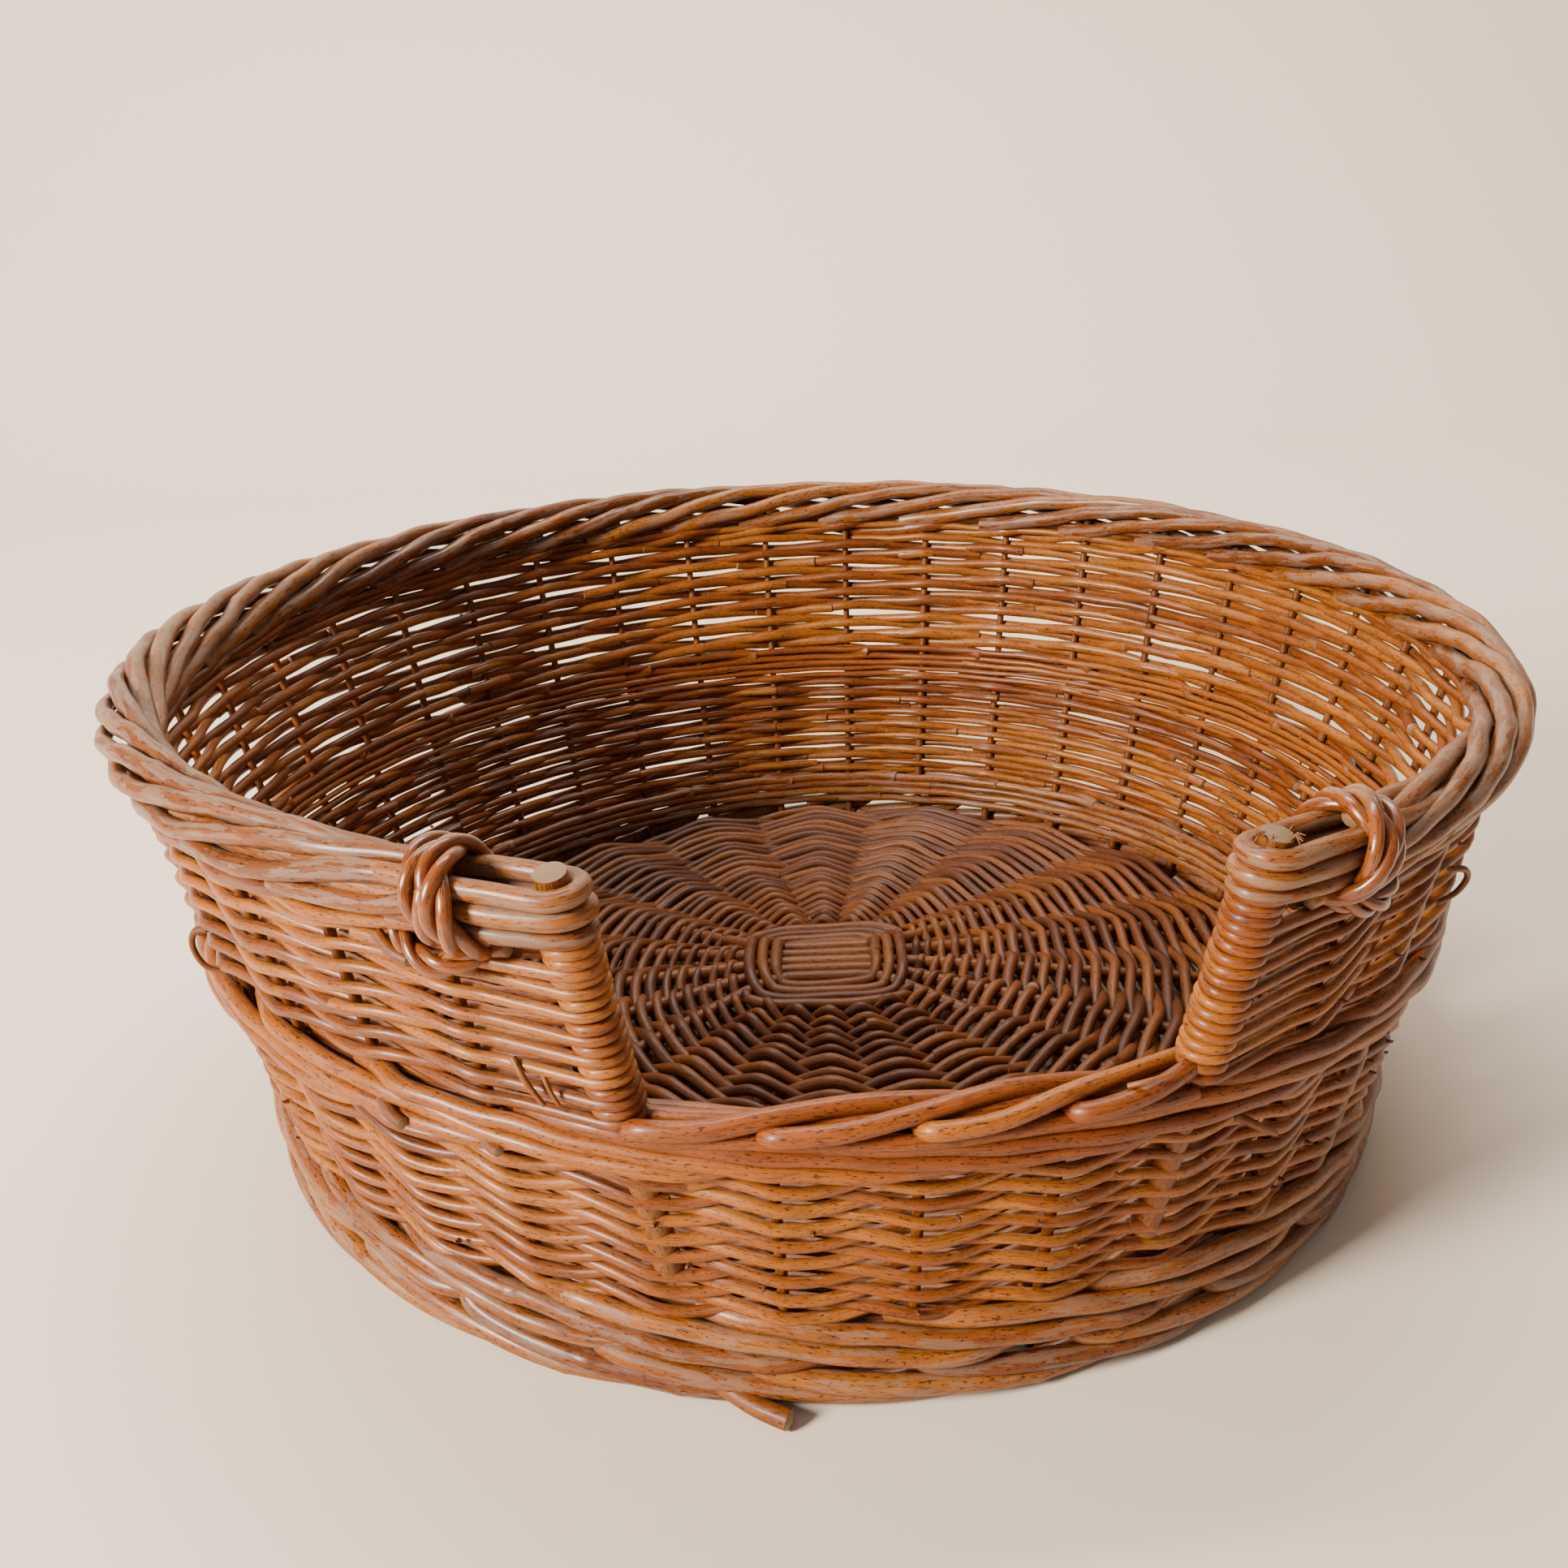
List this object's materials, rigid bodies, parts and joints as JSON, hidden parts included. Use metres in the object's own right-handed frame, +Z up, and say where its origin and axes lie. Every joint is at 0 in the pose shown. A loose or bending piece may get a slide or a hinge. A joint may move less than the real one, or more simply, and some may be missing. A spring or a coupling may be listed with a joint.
{
  "type": "wicker pet bed basket",
  "caption": "Round varnished willow pet basket with flared woven walls, a rolled rim and a low front entry between two wrapped posts.",
  "frame": {"origin": "on the floor, under the middle of the basket's overall length and width", "axes": "+Z up; the low entry faces -Y and the back of the basket is at +Y; +X is to the right seen from the entry"},
  "size_m": [0.6432, 0.6261, 0.2472],
  "materials": {
    "weave": "varnished willow weavers, semi-gloss",
    "borders": "varnished thick willow rods, semi-gloss",
    "stakes": "varnished willow side stakes, semi-gloss",
    "base_weave": "varnished willow weavers of the base",
    "base_sticks": "varnished base sticks",
    "posts": "post with pale cut end",
    "bindings": "twisted split willow, glossy reddish brown"
  },
  "bodies": {
    "root": {"base_binding": "base_weave", "base_stick_across_1": "base_sticks", "base_stick_across_2": "base_sticks", "base_stick_across_3": "base_sticks", "base_stick_across_4": "base_sticks", "base_stick_across_5": "base_sticks", "base_stick_along_1": "base_sticks", "base_stick_along_2": "base_sticks", "base_stick_along_3": "base_sticks", "base_stick_along_4": "base_sticks", "base_stick_along_5": "base_sticks", "base_weave": "base_weave", "end_post_left": "posts", "end_post_right": "posts", "foot_border": "borders", "foot_wale": "borders", "front_stake_1": "stakes", "front_stake_2": "stakes", "front_stake_3": "stakes", "lower_weave": "weave", "mid_wale": "borders", "post_wrap_left": "weave", "post_wrap_right": "weave", "rim_binding_left": "bindings", "rim_binding_right": "bindings", "rim_border": "borders", "side_stake_01": "stakes", "side_stake_02": "stakes", "side_stake_03": "stakes", "side_stake_04": "stakes", "side_stake_05": "stakes", "side_stake_06": "stakes", "side_stake_07": "stakes", "side_stake_08": "stakes", "side_stake_09": "stakes", "side_stake_10": "stakes", "side_stake_11": "stakes", "side_stake_12": "stakes", "side_stake_13": "stakes", "side_stake_14": "stakes", "side_stake_15": "stakes", "side_stake_16": "stakes", "side_stake_17": "stakes", "side_stake_18": "stakes", "side_stake_19": "stakes", "side_stake_20": "stakes", "side_stake_21": "stakes", "side_stake_22": "stakes", "side_stake_23": "stakes", "side_stake_24": "stakes", "side_stake_25": "stakes", "side_stake_26": "stakes", "side_stake_27": "stakes", "side_stake_28": "stakes", "side_stake_29": "stakes", "side_stake_30": "stakes", "side_stake_31": "stakes", "sill_border": "borders", "top_wale": "borders", "upper_weave": "weave"}
  },
  "joints": []
}
